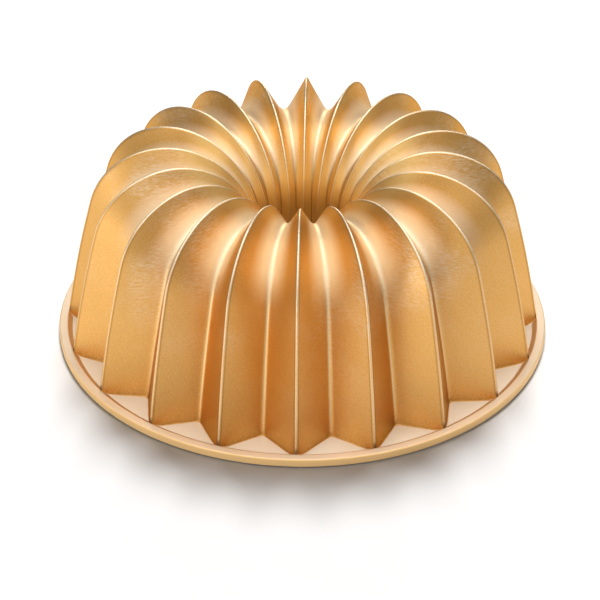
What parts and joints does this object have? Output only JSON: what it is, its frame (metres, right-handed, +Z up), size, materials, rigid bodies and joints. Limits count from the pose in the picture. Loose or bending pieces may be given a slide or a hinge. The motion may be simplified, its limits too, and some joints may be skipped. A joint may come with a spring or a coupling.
{
  "type": "fluted tube pan",
  "caption": "Round cast baking pan with straight flutes over its wall and crown, a flat rim and an open centre tube, standing upside-down on its rim.",
  "frame": {"origin": "centre of the rim's flat seat, on the pan's axis", "axes": "+Z up along the pan's axis, from the rim's seat towards the crown; ridges lie on +X, -X, +Y and -Y"},
  "size_m": [0.264, 0.264, 0.107],
  "materials": {
    "pan_casting": "bare die-cast aluminium, satin",
    "outer_coat": "satin metallic gold with a fine sand-like grain",
    "nonstick_lining": "smooth satin release coat, gold"
  },
  "bodies": {
    "root": {"pan_casting": "pan_casting", "outer_coat": "outer_coat", "nonstick_lining": "nonstick_lining"}
  },
  "joints": []
}
